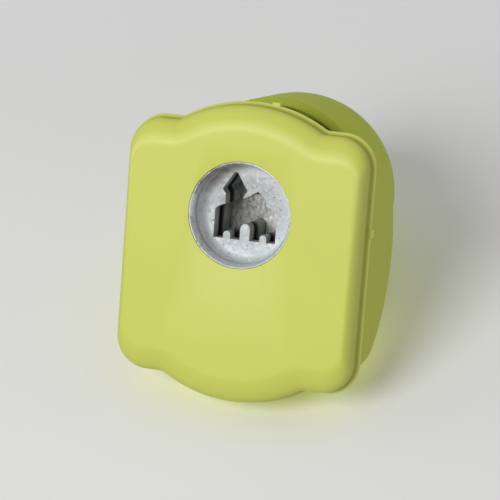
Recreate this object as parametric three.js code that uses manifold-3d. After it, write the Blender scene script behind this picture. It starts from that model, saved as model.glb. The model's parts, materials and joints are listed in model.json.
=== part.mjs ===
// A small craft punch that cuts a castle from paper or card.
// It stands on its base tray, +Z is up and the paper goes in from the front, -Y. All lengths are in millimetres.
// The origin is in the plane of the base face, under the middle of the whole punch.
import * as THREE from "three";
import { mergeVertices } from "three/addons/utils/BufferGeometryUtils.js";
import Module from "manifold-3d";

const wasm = await Module();
wasm.setup();

// Plan outline of the tray, measured at its rim: straight sides, corner lobes, and an arc front and rear
const trayHalfWidth = 17.0;
const lobeReach = 17.5;
const arcBulge = 2.85;
const arcRadius = 19.0;
const lobeCornerRadius = 4.5;
const notchRadius = 1.2;

// Tray: its face ends in a break, from which the rounding starts at the angle filletStart
const rimHeight = 4.7;
const rimBand = 0.7;
const rimLip = 0.4;
const sideFillet = 1.1;
const endFillet = 3.2;
const filletRise = 2.4;
const filletStart = 0.6;
const trayFloor = 1.4;
const trayWall = 1.3;
const gateStubWidth = 1.1;
const gateStubReach = 0.35;
const gateStubHeight = 0.6;
const frontGateX = 2.7;
const sideGateY = -4.6;
const trayPegRadius = 1.1;
const trayPegX = 11.2;
const trayPegFrontY = -12.6;
const trayPegRearY = 6.0;
const pegEngagement = 1.6;

// Die plate: its collar fills the round hole of the tray, and its land holds the castle opening
const punchAxisY = -5.5;
const collarRadius = 7.1;
const collarGap = 0.12;
const collarWall = 0.5;
const collarSetback = 0.1;
const recessDepth = 4.1;
const recessFillet = 0.9;
const dieSeatGap = 0.3;
const dieLand = 2.0;
const dieInset = 2.2;
const dieRearY = 11.6;

// Paper throat
const throatHeight = 1.2;
const throatRearY = 6.4;
const spacerDepth = 4.6;
const spacerHalfWidth = 12.0;

// Castle opening, seen from below with the spires towards the front; the punch blade follows it
const castleMiddleX = -0.4;
const castleHalfWidth = 4.35;
const castleBelow = 3.85;
const castleAbove = 5.2;
const bladeClearance = 0.08;
const doorwaySteps = 6;
// Each doorway's middle and half width in shares of the half width, and its height in shares of the depth below
const doorwayShares = [
  [-0.57, 0.115, 0.27],
  [0.01, 0.155, 0.58],
  [0.6, 0.11, 0.26],
];
// The skyline from right to left in shares of the half width and of the height above the axis
const skylineShares = [
  [1, 0.07],
  [0.83, 0.15],
  [0.63, 0.2],
  [0.63, 0.36],
  [0.33, 0.56],
  [0.09, 0.42],
  [-0.13, 0.33],
  [-0.08, 0.43],
  [0, 0.54],
  [-0.36, 1],
  [-0.45, 1],
  [-0.81, 0.54],
  [-0.7, 0.41],
  [-0.69, 0.15],
  [-0.88, 0.1],
  [-1, 0],
];

// Guide block
const guidePlate = 1.6;
const guideDiscRadius = 9.6;
const guideTubeRadius = 7.0;
const guideTubeHeight = 5.1;
const guideArmHalfWidth = 8.6;

// Frame screws and locating pins
const frameScrewX = 6.4;
const frameScrewY = 9.0;
const frameScrewRadius = 1.15;
const frameScrewHeadRadius = 2.1;
const frameScrewHead = 1.3;
const screwGrip = 4.2;
const locatingPinX = 2.6;
const locatingPinRadius = 0.9;
const pinDepth = 2.6;
const pilotGap = 0.1;

// Body shell: an arched barrel with flat cheeks, cut round for the cap
const cheekHalfWidth = 15.6;
const shellInset = 1.3;
const plugInset = 2.05;
const archReach = 17.2;
const archRise = 19.8;
const archBase = 2.0;
const shellWall = 1.3;
const deck = 1.0;
const rearPillarRadius = 12.6;
const rearPillarHeight = 9.4;
const rearPillarRise = 6.4;
const crownSteps = 7;
const shellTrayGap = 0.3;
const shellSeatGap = 0.15;
const shellBossRadius = 2.2;
const archSteps = 32;

// Button cap: a round dome with a skirt that slides over a collar of the shell, and an apron in front
const capCentreY = -6.4;
const capRadius = 13.85;
const domeBase = 25.6;
const domeRise = 13.8;
const skirtWall = 1.0;
const domeWall = 1.6;
const skirtClearance = 0.35;
const sleeveClearance = 0.3;
const sleeveWall = 1.2;
const snapBead = 0.6;
const snapHeight = 0.8;
const snapGap = 0.25;
const apronDrop = 2.7;
const apronRearY = -8.0;

// Stroke of the cap and blade
const stroke = 7.0;
const skirtStopGap = 0.3;
const bladeThrough = 0.1;

// Punch head and the screws in it
const headRadius = 9.0;
const headThickness = 2.2;
const punchScrewRadius = 1.0;
const punchScrewHeadRadius = 1.9;
const punchScrewHead = 1.2;
const punchScrewLength = 6.5;
const capScrewX = 6.6;
const capScrewRadius = 1.0;
const capScrewHeadRadius = 1.9;
const capScrewGrip = 4.6;
const capBossRadius = 2.3;
const capRib = 1.2;

// Return spring and its washer
const washerThickness = 0.5;
const springRadius = 8.1;
const springWire = 1.0;
const springTurns = 5.5;
const springLength = 15.0;
const springSeatGap = 0.1;
const springStepsPerTurn = 16;
const springSides = 6;

// Cuts run past the material by this much
const overrun = 1.0;
const cornerSteps = 6;
const notchSteps = 3;
const arcSteps = 9;
const roundSteps = 48;
const smallRoundSteps = 16;

// Lengths and heights that follow from the sizes above
const arcReach = lobeReach + arcBulge;
const recessFloor = recessDepth;
const dieTop = recessFloor + dieLand;
const dieBottom = trayFloor + dieSeatGap;
const throatTop = dieTop + throatHeight;
const guidePlateTop = throatTop + guidePlate;
const guideTubeTop = guidePlateTop + guideTubeHeight;
const deckTop = throatTop + deck;
const skirtBottom = guidePlateTop + skirtStopGap + stroke;
const sleeveOuter = capRadius - skirtWall - skirtClearance - snapBead;
const sleeveInner = sleeveOuter - sleeveWall;
const snapTop = skirtBottom + snapHeight;
const sleeveBeadBottom = snapTop + snapGap;
const sleeveTop = sleeveBeadBottom + snapHeight;
const bladeBottom = recessFloor - bladeThrough + stroke;
const springBottom = guidePlateTop + washerThickness + springSeatGap;
const springTop = springBottom + springLength;
const headBottom = springTop + springSeatGap;
const headTop = headBottom + headThickness;

// Materials
const limePlastic = new THREE.MeshStandardMaterial({ color: 0xccd46c, roughness: 0.42, metalness: 0 });
const zincCasting = new THREE.MeshStandardMaterial({ color: 0xc4c8cb, roughness: 0.5, metalness: 0.9 });
const bladeSteel = new THREE.MeshStandardMaterial({ color: 0x9a9c9e, roughness: 0.4, metalness: 1 });
const springSteel = new THREE.MeshStandardMaterial({ color: 0xb4b6b8, roughness: 0.3, metalness: 1 });
const screwSteel = new THREE.MeshStandardMaterial({ color: 0xa9abae, roughness: 0.35, metalness: 1 });

// Makes a solid for cutting and joining from a closed three.js geometry
function solid(geometry) {
  const bare = geometry.clone();
  bare.deleteAttribute("normal");
  bare.deleteAttribute("uv");
  const merged = mergeVertices(bare, 1e-4);
  const triVerts = new Uint32Array(merged.index.array);
  return new wasm.Manifold(new wasm.Mesh({ numProp: 3, vertProperties: merged.attributes.position.array, triVerts }));
}

// Turns a solid back into a three.js mesh with a name and a material
function piece(name, body, material) {
  const { vertProperties, triVerts, numProp } = body.getMesh();
  const position = new Float32Array((vertProperties.length / numProp) * 3);
  for (let i = 0; i < position.length / 3; i += 1) {
    for (let k = 0; k < 3; k += 1) position[3 * i + k] = vertProperties[numProp * i + k];
  }
  const geometry = new THREE.BufferGeometry();
  geometry.setAttribute("position", new THREE.BufferAttribute(position, 3));
  geometry.setIndex(new THREE.BufferAttribute(new Uint32Array(triVerts), 1));
  geometry.computeVertexNormals();
  const mesh = new THREE.Mesh(geometry, material);
  mesh.name = name;
  return mesh;
}

// A block between two corners
function block([x0, y0, z0], [x1, y1, z1]) {
  const box = new THREE.BoxGeometry(x1 - x0, y1 - y0, z1 - z0);
  return solid(box.translate((x0 + x1) / 2, (y0 + y1) / 2, (z0 + z1) / 2));
}

// A solid of revolution about a vertical axis, from [radius, height] points that run anticlockwise
function turned(profile, x = 0, y = 0, steps = roundSteps) {
  const points = profile.map(([r, z]) => new THREE.Vector2(r, z));
  const lathe = new THREE.LatheGeometry(points, steps);
  return solid(lathe.rotateX(Math.PI / 2).translate(x, y, 0));
}

// An upright rod
function rod(radius, z0, z1, x = 0, y = 0, steps = smallRoundSteps) {
  return turned([[0, z0], [radius, z0], [radius, z1], [0, z1]], x, y, steps);
}

// A flat outline raised from z0 to z1
function prism(outline, z0, z1) {
  const shape = new THREE.Shape(outline.map(([x, y]) => new THREE.Vector2(x, y)));
  const raised = new THREE.ExtrudeGeometry(shape, { depth: z1 - z0, bevelEnabled: false });
  return solid(raised.translate(0, 0, z0));
}

// Joins rings with equally many points into one closed solid, with a fan over each end
function loft(rings) {
  const count = rings[0].length;
  const positions = rings.flat(2);
  const index = [];
  const middle = (ring) => [0, 1, 2].map((k) => ring.reduce((sum, p) => sum + p[k], 0) / count);
  positions.push(...middle(rings[0]), ...middle(rings[rings.length - 1]));
  const first = rings.length * count;
  for (let i = 0; i < count; i += 1) {
    const j = (i + 1) % count;
    for (let r = 0; r + 1 < rings.length; r += 1) {
      const a = r * count;
      const b = a + count;
      index.push(a + i, a + j, b + j, a + i, b + j, b + i);
    }
    const top = (rings.length - 1) * count;
    index.push(first, j, i, first + 1, top + i, top + j);
  }
  const geometry = new THREE.BufferGeometry();
  geometry.setAttribute("position", new THREE.Float32BufferAttribute(positions, 3));
  geometry.setIndex(index);
  return solid(geometry);
}

// Points of an arc between two angles, both ends included
function arcPoints(centreX, centreY, radius, from, to, steps) {
  const points = [];
  for (let i = 0; i <= steps; i += 1) {
    const angle = from + ((to - from) * i) / steps;
    points.push([centreX + radius * Math.cos(angle), centreY + radius * Math.sin(angle)]);
  }
  return points;
}

// Plan outline of the tray drawn in by sideInset at the sides and endInset at the front and rear
function plaque(sideInset, endInset) {
  const halfWidth = trayHalfWidth - sideInset;
  const lobe = lobeReach - endInset;
  const corner = Math.max(lobeCornerRadius - (sideInset + endInset) / 3, lobeCornerRadius / 4);
  const arc = arcRadius - endInset;
  const arcCentre = arcReach - arcRadius;
  const notch = notchRadius + endInset;
  const notchX = Math.sqrt((arc + notch) ** 2 - (lobe + notch - arcCentre) ** 2);
  const meet = Math.atan2(lobe + notch - arcCentre, notchX);
  const quarter = [
    ...arcPoints(halfWidth - corner, lobe - corner, corner, 0, Math.PI / 2, cornerSteps),
    ...arcPoints(notchX, lobe + notch, notch, -Math.PI / 2, meet - Math.PI, notchSteps),
    ...arcPoints(0, arcCentre, arc, meet, Math.PI / 2, arcSteps).slice(1),
  ];
  const mirrored = quarter.slice(0, -1).map(([x, y]) => [-x, y]).reverse();
  const rear = [...quarter, ...mirrored];
  return [...rear, ...rear.map(([x, y]) => [x, -y]).reverse()];
}

const ringAt = (outline, z) => outline.map(([x, y]) => [x, y, z]);

// Castle outline about the punch axis, drawn in by an even clearance: doorways along the foot, then the skyline
function castle(clearance) {
  const doorways = doorwayShares.flatMap(([middle, halfWidth, height]) => {
    const round = halfWidth * castleHalfWidth;
    const spring = height * castleBelow - round;
    const arch = [[middle * castleHalfWidth - round, -castleBelow]];
    for (let i = 0; i <= doorwaySteps; i += 1) {
      const angle = Math.PI - (Math.PI * i) / doorwaySteps;
      const u = middle * castleHalfWidth + round * Math.cos(angle);
      arch.push([u, -castleBelow + spring + round * Math.sin(angle)]);
    }
    return [...arch, [middle * castleHalfWidth + round, -castleBelow]];
  });
  const skyline = skylineShares.map(([u, v]) => [u * castleHalfWidth, v * castleAbove]);
  const foot = [[-castleHalfWidth, -castleBelow], ...doorways, [castleHalfWidth, -castleBelow]];
  return drawnIn([...foot, ...skyline], clearance);
}

// Moves every edge of an anticlockwise outline inwards by the same distance
function drawnIn(outline, distance) {
  const count = outline.length;
  return outline.map((here, i) => {
    const before = outline[(i + count - 1) % count];
    const after = outline[(i + 1) % count];
    const u = new THREE.Vector2(here[0] - before[0], here[1] - before[1]).normalize();
    const v = new THREE.Vector2(after[0] - here[0], after[1] - here[1]).normalize();
    const across = new THREE.Vector2(-u.y - v.y, u.x + v.x);
    const share = distance / (1 + u.dot(v));
    return [here[0] + across.x * share, here[1] + across.y * share];
  });
}

// The castle in plan: it is drawn with its spires up, which is towards the front
function castlePrism(clearance, z0, z1) {
  const plan = castle(clearance).map(([u, v]) => [castleMiddleX + u, punchAxisY - v]);
  return prism(plan.reverse(), z0, z1);
}

// Tray with its rolled edge, pegs and gate stubs
function baseTray() {
  const rings = [];
  const filletSteps = 5;
  for (let i = 0; i <= filletSteps; i += 1) {
    const angle = filletStart + ((Math.PI / 2 - filletStart) * i) / filletSteps;
    const inset = (1 - Math.sin(angle)) / (1 - Math.sin(filletStart));
    const rise = 1 - Math.cos(angle) / Math.cos(filletStart);
    rings.push(ringAt(plaque(rimLip + sideFillet * inset, rimLip + endFillet * inset), filletRise * rise));
  }
  const lipStart = rimHeight - rimBand - rimLip;
  rings.push(ringAt(plaque(rimLip, rimLip), lipStart));
  rings.push(ringAt(plaque(rimLip / 4, rimLip / 4), lipStart + rimLip));
  rings.push(ringAt(plaque(0, 0), rimHeight - rimBand / 2));
  rings.push(ringAt(plaque(rimLip / 4, rimLip / 4), rimHeight));
  const outside = loft(rings);
  const wall = rimLip + trayWall;
  const inside = loft([
    ringAt(plaque(wall + sideFillet / 2, wall + endFillet / 2), trayFloor),
    ringAt(plaque(wall, wall), trayFloor + sideFillet / 2),
    ringAt(plaque(wall, wall), rimHeight + overrun),
  ]);
  const hole = rod(collarRadius + collarGap, -overrun, trayFloor + overrun, 0, punchAxisY, roundSteps);
  let tray = outside.subtract(inside).subtract(hole);
  const stubTop = rimHeight - rimBand / 4;
  const frontRim = -(arcReach - arcRadius) - Math.sqrt(arcRadius ** 2 - frontGateX ** 2);
  const halfStub = gateStubWidth / 2;
  const frontStub = block(
    [frontGateX - halfStub, frontRim - gateStubReach, stubTop - gateStubHeight],
    [frontGateX + halfStub, frontRim + trayWall / 2, stubTop],
  );
  const sideStub = block(
    [trayHalfWidth - trayWall / 2, sideGateY - halfStub, stubTop - gateStubHeight],
    [trayHalfWidth + gateStubReach, sideGateY + halfStub, stubTop],
  );
  tray = tray.add(frontStub).add(sideStub);
  for (const side of [-1, 1]) {
    for (const y of [trayPegFrontY, trayPegRearY]) {
      tray = tray.add(rod(trayPegRadius, trayFloor / 2, dieBottom + pegEngagement, side * trayPegX, y));
    }
  }
  return tray;
}

// A tray-shaped block from the die's underside up, with a foot that clears the fillet inside the tray
function footed(inset, top) {
  return loft([
    ringAt(plaque(inset + sideFillet / 2, inset + endFillet / 2), dieBottom),
    ringAt(plaque(inset, inset), dieBottom + sideFillet / 2),
    ringAt(plaque(inset, inset), top),
  ]);
}

// Die plate with its collar, filleted recess and castle opening
function diePlate() {
  const plate = footed(dieInset, dieTop);
  const rearCut = block(
    [-trayHalfWidth, dieRearY, dieBottom - overrun],
    [trayHalfWidth, arcReach, dieTop + overrun],
  );
  const collar = rod(collarRadius, collarSetback, dieTop - dieLand / 2, 0, punchAxisY, roundSteps);
  const bore = collarRadius - collarWall;
  const recess = [[0, -overrun], [bore, -overrun]];
  const filletSteps = 4;
  for (let i = 0; i <= filletSteps; i += 1) {
    const angle = ((Math.PI / 2) * i) / filletSteps;
    const r = bore - recessFillet + recessFillet * Math.cos(angle);
    recess.push([r, recessFloor - recessFillet + recessFillet * Math.sin(angle)]);
  }
  recess.push([0, recessFloor]);
  let die = plate.subtract(rearCut).add(collar).subtract(turned(recess, 0, punchAxisY));
  die = die.subtract(castlePrism(0, recessFloor - overrun / 2, dieTop + overrun));
  for (const side of [-1, 1]) {
    for (const y of [trayPegFrontY, trayPegRearY]) {
      const depth = dieBottom + pegEngagement + dieSeatGap;
      die = die.subtract(rod(trayPegRadius + pilotGap, dieBottom - overrun, depth, side * trayPegX, y));
    }
    die = die.subtract(frameScrewHole(side, dieBottom - overrun, dieTop + overrun));
    const seat = dieBottom + frameScrewHead + pilotGap;
    const headRadius = frameScrewHeadRadius + pilotGap;
    die = die.subtract(rod(headRadius, dieBottom - overrun, seat, side * frameScrewX, frameScrewY));
    die = die.subtract(pinHole(side, dieTop - pinDepth, dieTop + overrun));
  }
  return die;
}

const frameScrewHole = (side, z0, z1) =>
  rod(frameScrewRadius + pilotGap, z0, z1, side * frameScrewX, frameScrewY);
const pinHole = (side, z0, z1) =>
  rod(locatingPinRadius + pilotGap, z0, z1, side * locatingPinX, frameScrewY);

// Spacer that sets the height of the paper throat and stops the paper
function throatSpacer() {
  let spacer = block([-spacerHalfWidth, throatRearY, dieTop], [spacerHalfWidth, throatRearY + spacerDepth, throatTop]);
  for (const side of [-1, 1]) {
    spacer = spacer.subtract(frameScrewHole(side, dieTop - overrun, throatTop + overrun));
    spacer = spacer.subtract(pinHole(side, dieTop - overrun, throatTop + overrun));
  }
  return spacer;
}

// Guide block: a disc and tube that guide the blade, and an arm back to the spacer
function guideBlock() {
  const disc = rod(guideDiscRadius, throatTop, guidePlateTop, 0, punchAxisY, roundSteps);
  const tube = rod(guideTubeRadius, throatTop, guideTubeTop, 0, punchAxisY, roundSteps);
  const arm = block(
    [-guideArmHalfWidth, punchAxisY, throatTop],
    [guideArmHalfWidth, throatRearY + spacerDepth, guidePlateTop],
  );
  let guide = disc.add(tube).add(arm).subtract(castlePrism(0, throatTop - overrun, guideTubeTop + overrun));
  for (const side of [-1, 1]) {
    guide = guide.subtract(frameScrewHole(side, throatTop - overrun, guidePlateTop + overrun));
    guide = guide.subtract(pinHole(side, throatTop - overrun, guidePlateTop + overrun));
  }
  return guide;
}

// An arch in side view, from one side plane to the other
function arched(reach, rise, halfWidth) {
  const profile = [];
  for (let i = 0; i <= archSteps; i += 1) {
    const angle = (Math.PI * i) / archSteps;
    profile.push([reach * Math.cos(angle), archBase + rise * Math.sin(angle)]);
  }
  profile.push([-reach, 0], [reach, 0]);
  const shape = new THREE.Shape(profile.map(([y, z]) => new THREE.Vector2(y, z)));
  const arch = new THREE.ExtrudeGeometry(shape, { depth: 2 * halfWidth, bevelEnabled: false });
  arch.rotateX(Math.PI / 2).rotateZ(Math.PI / 2);
  return solid(arch.translate(-halfWidth, 0, 0));
}

// Rear pillar of the shell: a round post with a domed crown
function rearPillar() {
  const foot = rimHeight + shellTrayGap;
  const crown = [];
  for (let i = 0; i <= crownSteps; i += 1) {
    const angle = ((Math.PI / 2) * i) / crownSteps;
    const radius = i === crownSteps ? 0 : rearPillarRadius * Math.cos(angle);
    crown.push([radius, rearPillarHeight + rearPillarRise * Math.sin(angle)]);
  }
  const profile = [[0, foot], [rearPillarRadius, foot], ...crown];
  return turned(profile, 0, arcReach - shellInset - rearPillarRadius);
}

// Sleeve that the cap slides on, with a bead that holds the cap's snap edge
function capSleeve() {
  const profile = [
    [sleeveInner, throatTop],
    [sleeveOuter, throatTop],
    [sleeveOuter, sleeveBeadBottom],
    [sleeveOuter + snapBead, sleeveBeadBottom],
    [sleeveOuter, sleeveTop],
    [sleeveInner, sleeveTop],
    [sleeveInner, throatTop],
  ];
  return turned(profile, 0, capCentreY);
}

// Body shell: cheeks, deck and sleeve over the throat, and a rear pillar that plugs into the tray
function bodyShell() {
  const top = archBase + archRise + overrun;
  const sideInset = trayHalfWidth - cheekHalfWidth;
  const foot = rimHeight + shellTrayGap;
  const front = -(arcReach + overrun);
  const behind = dieRearY + shellSeatGap;
  const arch = arched(archReach, archRise, cheekHalfWidth).intersect(prism(plaque(sideInset, shellInset), foot, top));
  const inside = arched(archReach - shellWall, archRise - shellWall, cheekHalfWidth - shellWall)
    .intersect(prism(plaque(sideInset + shellWall, shellInset + shellWall), deckTop, top));
  const capPath = rod(capRadius + sleeveClearance, deckTop, top, 0, capCentreY, roundSteps);
  const deckPlate = prism(plaque(sideInset, shellInset), throatTop, deckTop)
    .intersect(block([-trayHalfWidth, front, throatTop], [trayHalfWidth, 0, deckTop]));
  const apronPath = rod(capRadius + sleeveClearance, throatTop - overrun, deckTop + overrun, 0, capCentreY, roundSteps)
    .subtract(rod(capRadius - skirtWall - skirtClearance, 0, top, 0, capCentreY, roundSteps))
    .intersect(block([-trayHalfWidth, front, 0], [trayHalfWidth, apronRearY + skirtClearance, top]));
  const throat = block([-trayHalfWidth, front, 0], [trayHalfWidth, behind, throatTop]);
  const plug = footed(plugInset, throatTop).intersect(block([-trayHalfWidth, behind, 0], [trayHalfWidth, arcReach, throatTop]));
  let shell = arch.add(rearPillar()).add(deckPlate).subtract(inside).subtract(capPath).subtract(throat).add(plug);
  shell = shell.subtract(apronPath);
  shell = shell.add(capSleeve());
  const screwTop = guidePlateTop + screwGrip;
  const ribLimit = arched(archReach - shellWall / 2, archRise - shellWall / 2, cheekHalfWidth);
  for (const side of [-1, 1]) {
    const x = side * frameScrewX;
    shell = shell.add(rod(shellBossRadius, deckTop - deck / 2, screwTop + shellWall, x, frameScrewY));
    const rib = block([x - shellWall / 2, frameScrewY, deckTop - deck / 2], [x + shellWall / 2, archReach, screwTop]);
    shell = shell.add(rib.intersect(ribLimit));
  }
  const seat = block(
    [-guideArmHalfWidth - shellSeatGap, punchAxisY, throatTop - overrun],
    [guideArmHalfWidth + shellSeatGap, throatRearY + spacerDepth + shellSeatGap, guidePlateTop],
  );
  const discSeat = rod(guideDiscRadius + shellSeatGap, throatTop - overrun, guidePlateTop, 0, punchAxisY, roundSteps);
  shell = shell.subtract(seat).subtract(discSeat);
  for (const side of [-1, 1]) shell = shell.subtract(frameScrewHole(side, guidePlateTop - overrun, screwTop + pilotGap));
  return shell;
}

// Frame screw, driven up from under the die plate into the shell
function frameScrew(side) {
  const head = dieBottom + frameScrewHead;
  const profile = [
    [0, dieBottom],
    [frameScrewHeadRadius, dieBottom],
    [frameScrewHeadRadius, head],
    [frameScrewRadius, head],
    [frameScrewRadius, guidePlateTop + screwGrip],
    [0, guidePlateTop + screwGrip],
  ];
  return turned(profile, side * frameScrewX, frameScrewY, smallRoundSteps);
}

// Pin that lines the guide up with the die
function locatingPin(side) {
  return rod(locatingPinRadius, dieTop - pinDepth + pilotGap, guidePlateTop, side * locatingPinX, frameScrewY);
}

// Cap: dome and skirt with a snap edge inside, and bosses for the punch head
function buttonCap() {
  const skirtInner = capRadius - skirtWall;
  const domeInner = capRadius - domeWall;
  const domeSteps = 10;
  const dome = (radius, rise) => {
    const arc = [];
    for (let i = 0; i <= domeSteps; i += 1) {
      const angle = ((Math.PI / 2) * i) / domeSteps;
      arc.push([radius * Math.cos(angle), domeBase + rise * Math.sin(angle)]);
    }
    arc[domeSteps][0] = 0;
    return arc;
  };
  const hookInner = sleeveOuter + sleeveClearance;
  const shell = turned(
    [
      [hookInner + snapBead, skirtBottom],
      [capRadius, skirtBottom],
      ...dome(capRadius, domeRise),
      ...dome(domeInner, domeRise - domeWall).reverse(),
      [skirtInner, domeBase - domeWall],
      [skirtInner, snapTop],
      [hookInner, snapTop],
      [hookInner, snapTop - snapHeight / 2],
      [hookInner + snapBead, skirtBottom],
    ],
    0,
    capCentreY,
  );
  const apron = turned(
    [
      [skirtInner, skirtBottom - apronDrop],
      [capRadius, skirtBottom - apronDrop],
      [capRadius, skirtBottom + snapHeight / 4],
      [skirtInner, skirtBottom + snapHeight / 4],
      [skirtInner, skirtBottom - apronDrop],
    ],
    0,
    capCentreY,
  ).intersect(block([-capRadius, -arcReach, 0], [capRadius, apronRearY, domeBase]));
  const boreRadius = punchScrewHeadRadius + sleeveClearance;
  const middleBoss = rod(boreRadius + capRib, headTop, domeBase + domeRise, 0, punchAxisY);
  let bosses = middleBoss.add(block(
    [-capScrewX, punchAxisY - capRib / 2, headTop],
    [capScrewX, punchAxisY + capRib / 2, domeBase + domeRise],
  ));
  for (const side of [-1, 1]) {
    bosses = bosses.add(rod(capBossRadius, headTop, domeBase + domeRise, side * capScrewX, punchAxisY));
  }
  const fill = turned([[0, domeBase], ...dome(capRadius - domeWall / 2, domeRise - domeWall / 2)], 0, capCentreY);
  let cap = shell.add(apron).add(bosses.intersect(fill));
  cap = cap.subtract(rod(boreRadius, headTop - overrun, headTop + punchScrewHead + capRib, 0, punchAxisY));
  for (const side of [-1, 1]) {
    const depth = headTop + capScrewGrip + pilotGap;
    cap = cap.subtract(rod(capScrewRadius + pilotGap, headTop - overrun, depth, side * capScrewX, punchAxisY));
  }
  return cap;
}

// Punch head: the disc between the blade, the spring and the cap
function punchHead() {
  let head = rod(headRadius, headBottom, headTop, 0, punchAxisY, roundSteps);
  head = head.subtract(rod(punchScrewRadius + pilotGap, headBottom - overrun, headTop + overrun, 0, punchAxisY));
  for (const side of [-1, 1]) {
    head = head.subtract(capScrewForm(side, pilotGap, headBottom - overrun));
  }
  return head;
}

// Countersunk screw that holds the cap on the punch head, or its hole when it is made larger by a gap
function capScrewForm(side, gap, from) {
  const flat = headBottom + pilotGap;
  const neck = flat + capScrewHeadRadius - capScrewRadius;
  const head = from < flat ? [[capScrewHeadRadius + gap, from]] : [];
  const profile = [
    [0, from],
    ...head,
    [capScrewHeadRadius + gap, flat + gap],
    [capScrewRadius + gap, neck + gap],
    [capScrewRadius + gap, headTop + capScrewGrip + gap],
    [0, headTop + capScrewGrip + gap],
  ];
  return turned(profile, side * capScrewX, punchAxisY, smallRoundSteps);
}

// Blade with the castle as its section
function castleBlade() {
  const blade = castlePrism(bladeClearance, bladeBottom, headBottom);
  const boreBottom = headTop - punchScrewLength - pilotGap;
  return blade.subtract(rod(punchScrewRadius + pilotGap, boreBottom, headBottom + overrun, 0, punchAxisY));
}

// Screw down through the punch head into the blade
function punchScrew() {
  const profile = [
    [0, headTop - punchScrewLength],
    [punchScrewRadius, headTop - punchScrewLength],
    [punchScrewRadius, headTop],
    [punchScrewHeadRadius, headTop],
    [punchScrewHeadRadius, headTop + punchScrewHead],
    [0, headTop + punchScrewHead],
  ];
  return turned(profile, 0, punchAxisY, smallRoundSteps);
}

// Washer under the return spring
function springWasher() {
  const inner = guideTubeRadius + sleeveClearance;
  const outer = springRadius + springWire;
  const profile = [
    [inner, guidePlateTop],
    [outer, guidePlateTop],
    [outer, guidePlateTop + washerThickness],
    [inner, guidePlateTop + washerThickness],
    [inner, guidePlateTop],
  ];
  return turned(profile, 0, punchAxisY);
}

// Middle line of the spring wire: a helix with a short straight run at each end
function springPath() {
  const points = [];
  const steps = Math.round(springTurns * springStepsPerTurn);
  const low = springBottom + springWire / 2;
  const high = springTop - springWire / 2;
  for (let i = 0; i <= steps; i += 1) {
    const angle = (2 * Math.PI * springTurns * i) / steps;
    const height = low + ((high - low) * i) / steps;
    const x = springRadius * Math.cos(angle);
    points.push(new THREE.Vector3(x, punchAxisY + springRadius * Math.sin(angle), height));
  }
  const end = 2 * Math.PI * springTurns;
  const run = new THREE.Vector3(-Math.sin(end), Math.cos(end), 0).multiplyScalar(springWire);
  points.unshift(points[0].clone().add(new THREE.Vector3(0, -springWire, 0)));
  points.push(points[points.length - 1].clone().add(run));
  return points;
}

// Tube of round wire along a path, with flat ends
function wire(points, radius, sides) {
  const rings = points.map((point, i) => {
    const before = points[Math.max(i - 1, 0)];
    const after = points[Math.min(i + 1, points.length - 1)];
    const along = after.clone().sub(before).normalize();
    const across = new THREE.Vector3(0, 0, 1).cross(along).normalize();
    const up = along.clone().cross(across);
    const ring = [];
    for (let k = 0; k < sides; k += 1) {
      const angle = (2 * Math.PI * k) / sides;
      const p = point.clone().addScaledVector(across, radius * Math.cos(angle));
      p.addScaledVector(up, radius * Math.sin(angle));
      ring.push([p.x, p.y, p.z]);
    }
    return ring;
  });
  return loft(rings);
}

// The least gap between two turns of the spring, measured between points of its middle line
function leastSpringGap(points) {
  let least = Infinity;
  for (let i = 0; i < points.length; i += 1) {
    for (let j = i + springStepsPerTurn / 2; j < points.length; j += 1) {
      least = Math.min(least, points[i].distanceTo(points[j]) - springWire);
    }
  }
  return least;
}

const springPoints = springPath();
console.log(`least gap of the spring to itself: ${leastSpringGap(springPoints).toFixed(2)} mm`);

const craftPunch = new THREE.Group();
craftPunch.add(
  piece("base_tray", baseTray(), limePlastic),
  piece("die_plate", diePlate(), zincCasting),
  piece("throat_spacer", throatSpacer(), zincCasting),
  piece("guide_block", guideBlock(), zincCasting),
  piece("body_shell", bodyShell(), limePlastic),
  piece("spring_washer", springWasher(), screwSteel),
  piece("return_spring", wire(springPoints, springWire / 2, springSides), springSteel),
);
for (const [hand, side] of [["left", -1], ["right", 1]]) {
  craftPunch.add(piece(`frame_screw_${hand}`, frameScrew(side), screwSteel));
  craftPunch.add(piece(`locating_pin_${hand}`, locatingPin(side), screwSteel));
}

// All that the thumb presses down
const pressed = new THREE.Group();
pressed.add(
  piece("button_cap", buttonCap(), limePlastic),
  piece("castle_blade", castleBlade(), bladeSteel),
  piece("punch_head", punchHead(), zincCasting),
  piece("punch_screw", punchScrew(), screwSteel),
  piece("cap_screw_left", capScrewForm(-1, 0, headBottom + pilotGap), screwSteel),
  piece("cap_screw_right", capScrewForm(1, 0, headBottom + pilotGap), screwSteel),
);
craftPunch.add(pressed);

export default craftPunch;
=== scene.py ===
# Looks of the small castle craft punch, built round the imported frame
import json
import math

import bmesh
import bpy
from mathutils import Matrix, Vector

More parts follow.
